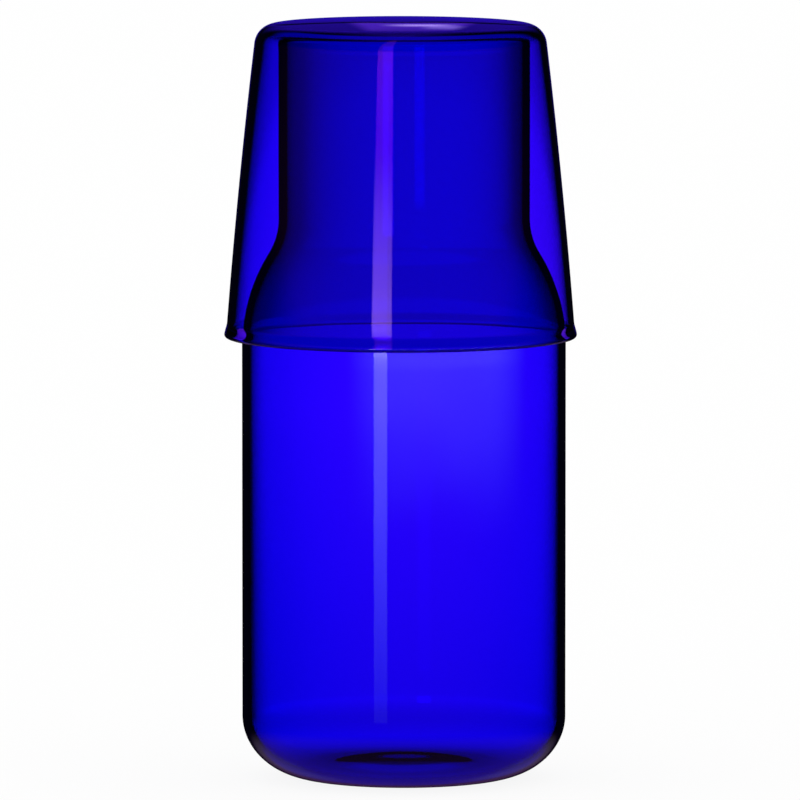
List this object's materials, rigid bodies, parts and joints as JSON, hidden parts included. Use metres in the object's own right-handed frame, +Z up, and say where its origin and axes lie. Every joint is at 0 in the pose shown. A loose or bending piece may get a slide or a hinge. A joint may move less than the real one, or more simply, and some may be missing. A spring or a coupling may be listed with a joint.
{
  "type": "carafe with cup",
  "caption": "Straight-sided blue glass carafe with a plain round neck, and a tapered glass cup that rests upside down over the neck as its lid.",
  "frame": {"origin": "middle of the carafe's foot ring, on the surface that it stands on", "axes": "+Z up along the carafe's axis, out of its neck; the cup lies a little towards -X"},
  "size_m": [0.0958, 0.0958, 0.2062],
  "materials": {
    "cobalt_glass": "clear polished, blue all through"
  },
  "bodies": {
    "carafe": {"carafe": "cobalt_glass"},
    "cup": {"cup": "cobalt_glass"}
  },
  "joints": [
    {"name": "cup_lift", "type": "slide", "parent": "carafe", "child": "cup", "axis": [0, 0, 1], "range_m": [0, 0.12]}
  ]
}
